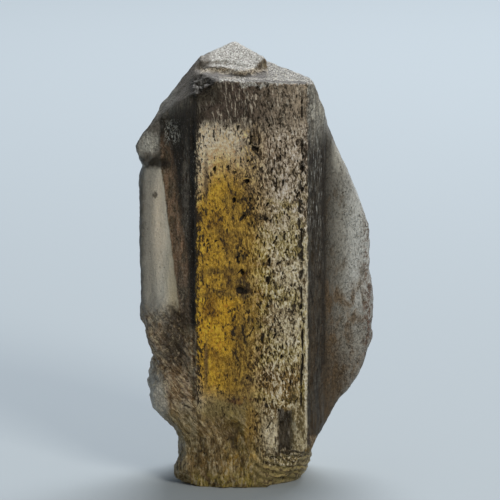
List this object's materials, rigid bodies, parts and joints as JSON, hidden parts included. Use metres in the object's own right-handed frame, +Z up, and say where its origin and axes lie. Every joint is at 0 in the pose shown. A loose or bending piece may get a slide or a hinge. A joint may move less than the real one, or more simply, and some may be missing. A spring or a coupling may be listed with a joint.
{
  "type": "barite crystal",
  "caption": "Stout translucent honey-brown barite crystal with a blade, a wing and a beak grown into it, standing upright on its broken foot.",
  "frame": {"origin": "under the middle of the crystal's bounding box, on the plane of its flat broken foot", "axes": "+Z up along the crystal, -Y out of its broad front face, +X towards the blade on its right"},
  "size_m": [0.027, 0.0176, 0.0502],
  "materials": {
    "barite": "etched, translucent, zoned from honey yellow to smoky brown with pale ends"
  },
  "bodies": {
    "root": {"barite_crystal": "barite"}
  },
  "joints": []
}
